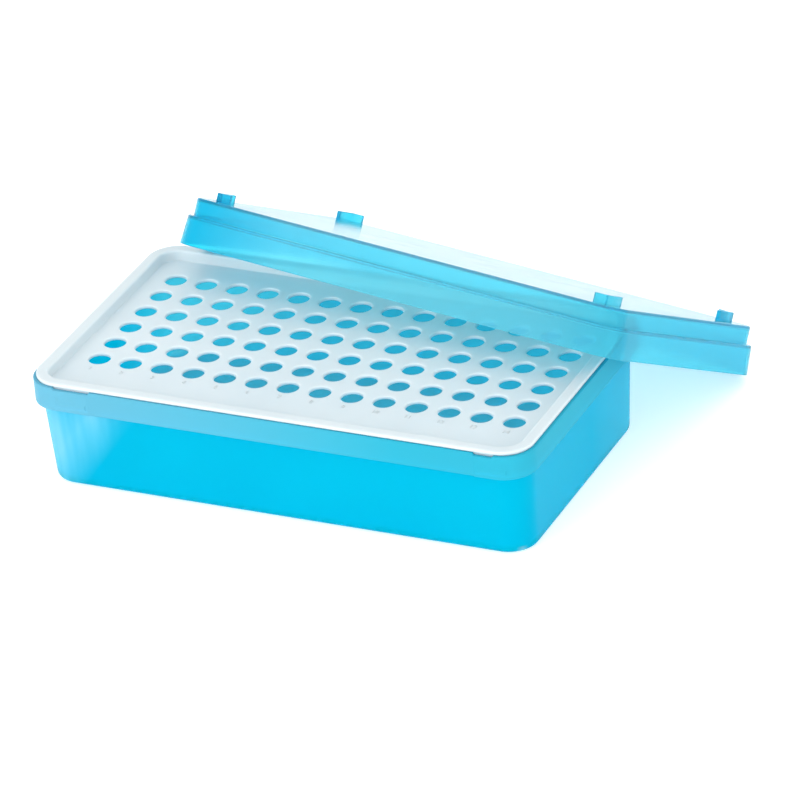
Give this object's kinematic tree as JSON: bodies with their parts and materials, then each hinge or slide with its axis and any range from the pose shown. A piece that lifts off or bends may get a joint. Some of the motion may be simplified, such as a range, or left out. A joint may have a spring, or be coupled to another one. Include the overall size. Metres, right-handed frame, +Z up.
{
  "type": "cryogenic storage box",
  "caption": "Shallow translucent tub with a lift-out perforated rack for small cryogenic tubes and a loose stepped lid with stacking tabs, leaning open over the rear edge.",
  "frame": {"origin": "centre of the tub's underside, on the surface the box stands on", "axes": "+Z up, X along the long rows of holes, -Y is the front, and the lid leans over the rear"},
  "size_m": [0.2725, 0.2333, 0.0868],
  "materials": {
    "tub_plastic": "translucent cyan-blue polypropylene, smooth moulded",
    "rack_plastic": "frosted natural polypropylene, milky white",
    "lid_plastic": "translucent light-blue polypropylene, smooth moulded"
  },
  "bodies": {
    "tub": {"base_tub": "tub_plastic"},
    "rack": {"tube_rack": "rack_plastic"},
    "lid": {"lid": "lid_plastic"}
  },
  "joints": [
    {"name": "rack_lift", "type": "slide", "parent": "tub", "child": "rack", "axis": [0, 0, 1], "range_m": [0, 0.07]},
    {"name": "lid_lift", "type": "slide", "parent": "rack", "child": "lid", "axis": [0, 0, 1], "range_m": [0, 0.1]}
  ]
}
